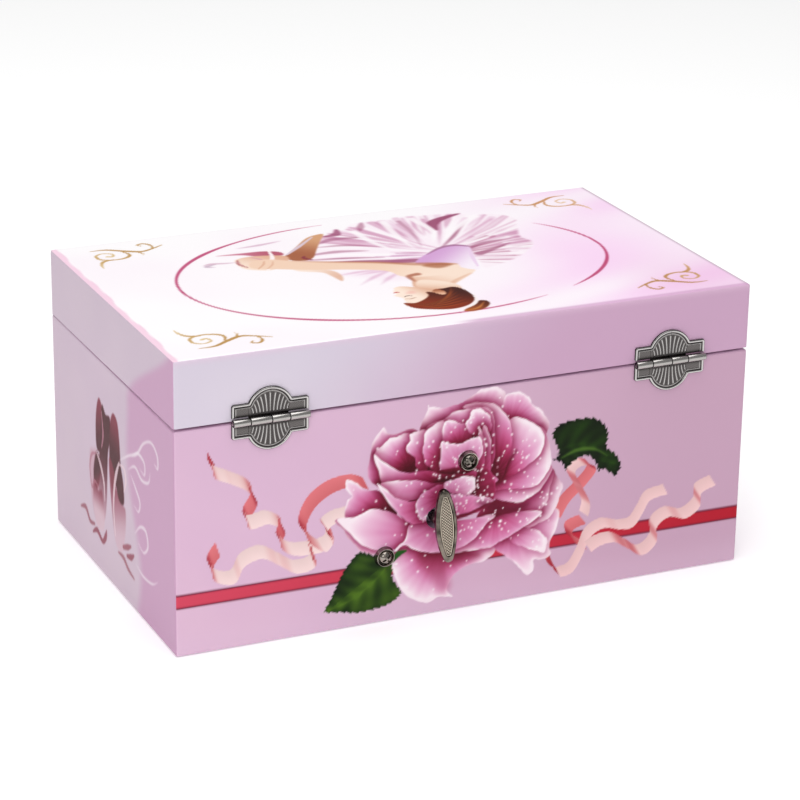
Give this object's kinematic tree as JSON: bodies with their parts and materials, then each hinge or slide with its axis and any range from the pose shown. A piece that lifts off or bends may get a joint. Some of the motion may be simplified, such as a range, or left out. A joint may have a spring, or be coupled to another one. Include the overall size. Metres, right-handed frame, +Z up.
{
  "type": "musical jewellery box",
  "caption": "Wrapped-board jewellery box with a hinged lid, wind-up musical movement with a back-wall key, lined compartments, mirror and a spring-folded turning ballerina.",
  "frame": {"origin": "middle of the box's underside", "axes": "+Z up; +Y towards the hinges and the winding key; the lid opens at -Y; +X along the box"},
  "size_m": [0.19, 0.1202, 0.093],
  "materials": {
    "wrapped_board": "printed paper under gloss lacquer",
    "underside_paper": "matt paper over board",
    "pink_lining": "flocked card",
    "ring_cushion": "satin over foam",
    "felt": "felt",
    "antique_nickel": "stamped, antique nickel plate",
    "key_nickel": "nickel plate, worn",
    "screw_nickel": "nickel plate",
    "cast_zinc": "as cast",
    "steel": "ground steel",
    "brass": "turned",
    "nylon": "moulded nylon",
    "mirror_glass": "silvered glass",
    "bezel": "pearl plastic",
    "figure_enamel": "painted",
    "tulle": "stiff net"
  },
  "bodies": {
    "base": {"body_front_wall": "wrapped_board", "body_back_wall": "wrapped_board", "body_left_wall": "wrapped_board", "body_right_wall": "wrapped_board", "body_floor": "underside_paper", "floor_pad": "pink_lining", "left_lining": "pink_lining", "right_lining": "pink_lining", "front_lining": "pink_lining", "back_lining": "pink_lining", "left_partition": "pink_lining", "right_partition": "pink_lining", "ring_box": "pink_lining", "ring_box_partition": "pink_lining", "ring_roll_1": "ring_cushion", "ring_roll_2": "ring_cushion", "ring_roll_3": "ring_cushion", "ring_roll_4": "ring_cushion", "ring_roll_5": "ring_cushion", "movement_housing": "pink_lining", "bedplate": "cast_zinc", "barrel_bridge": "steel", "movement_screws": "screw_nickel", "cup_washers": "screw_nickel", "clutch_spring": "steel", "comb": "steel", "comb_screws": "screw_nickel", "governor_frame": "steel", "spindle_bracket": "steel", "spindle_bush": "brass", "left_hinge_lower_leaf": "antique_nickel", "right_hinge_lower_leaf": "antique_nickel", "left_hinge_pin": "antique_nickel", "right_hinge_pin": "antique_nickel"},
    "lid": {"lid_front_wall": "wrapped_board", "lid_back_wall": "wrapped_board", "lid_left_wall": "wrapped_board", "lid_right_wall": "wrapped_board", "lid_top": "wrapped_board", "lid_board": "pink_lining", "lid_lining": "pink_lining", "mirror": "mirror_glass", "mirror_bezel": "bezel", "stop_pad": "felt", "left_hinge_upper_leaf": "antique_nickel", "right_hinge_upper_leaf": "antique_nickel"},
    "key": {"winding_key": "key_nickel", "winding_arbor": "steel"},
    "drive": {"great_wheel": "brass", "spring_barrel": "steel", "mainspring": "steel"},
    "drum": {"drum": "brass", "drum_arbor": "brass"},
    "idler": {"idler": "nylon"},
    "governor": {"governor_fan": "nylon"},
    "spindle": {"spindle": "nylon"},
    "fold_arm": {"fold_spring": "steel"},
    "dancer": {"ballerina": "figure_enamel", "tutu": "tulle"},
    "stop": {"stop_wire": "steel"}
  },
  "joints": [
    {"name": "lid_hinge", "type": "hinge", "parent": "base", "child": "lid", "pos_m": [0, 0.05755, 0.0719], "axis": [-1, 0, 0], "range_deg": [0, 100]},
    {"name": "key_wind", "type": "hinge", "parent": "base", "child": "key", "pos_m": [0.0108, 0.05625, 0.0315], "axis": [0, 1, 0], "continuous": true},
    {"name": "music_drive", "type": "hinge", "parent": "base", "child": "drive", "pos_m": [0.0108, 0.047, 0.0315], "axis": [0, 1, 0], "continuous": true},
    {"name": "drum_spin", "type": "hinge", "parent": "base", "child": "drum", "pos_m": [-0.0152, 0.04185, 0.0315], "axis": [1, 0, 0], "continuous": true},
    {"name": "idler_spin", "type": "hinge", "parent": "base", "child": "idler", "pos_m": [-0.0152, 0.04185, 0.02325], "axis": [1, 0, 0], "continuous": true},
    {"name": "governor_spin", "type": "hinge", "parent": "base", "child": "governor", "pos_m": [-0.0285, 0.03625, 0.03], "axis": [0, 0, 1], "continuous": true},
    {"name": "spindle_spin", "type": "hinge", "parent": "base", "child": "spindle", "pos_m": [0.0108, 0.04185, 0.05], "axis": [0, 0, 1], "continuous": true},
    {"name": "ballerina_fold", "type": "hinge", "parent": "base", "child": "fold_arm", "pos_m": [0.0108, 0.04034, 0.0666], "axis": [-1, 0, 0], "range_deg": [0, 90.5], "deforming": ["fold_spring"]},
    {"name": "ballerina_spin", "type": "hinge", "parent": "fold_arm", "child": "dancer", "pos_m": [0.0108, 0.03485, 0.0681], "axis": [0, -1, 0], "continuous": true},
    {"name": "stop_wire_lift", "type": "slide", "parent": "base", "child": "stop", "axis": [0, 0, 1], "range_m": [0, 0.004]}
  ],
  "couplings": [
    {"joint": "drum_spin", "follows": "music_drive", "ratio": 4},
    {"joint": "idler_spin", "follows": "music_drive", "ratio": -8},
    {"joint": "governor_spin", "follows": "music_drive", "ratio": -96},
    {"joint": "spindle_spin", "follows": "music_drive", "ratio": -4},
    {"joint": "ballerina_spin", "follows": "music_drive", "ratio": -4},
    {"joint": "ballerina_fold", "follows": "lid_hinge", "ratio": 0.9},
    {"joint": "stop_wire_lift", "follows": "lid_hinge", "m_per_rad": 0.00229}
  ]
}
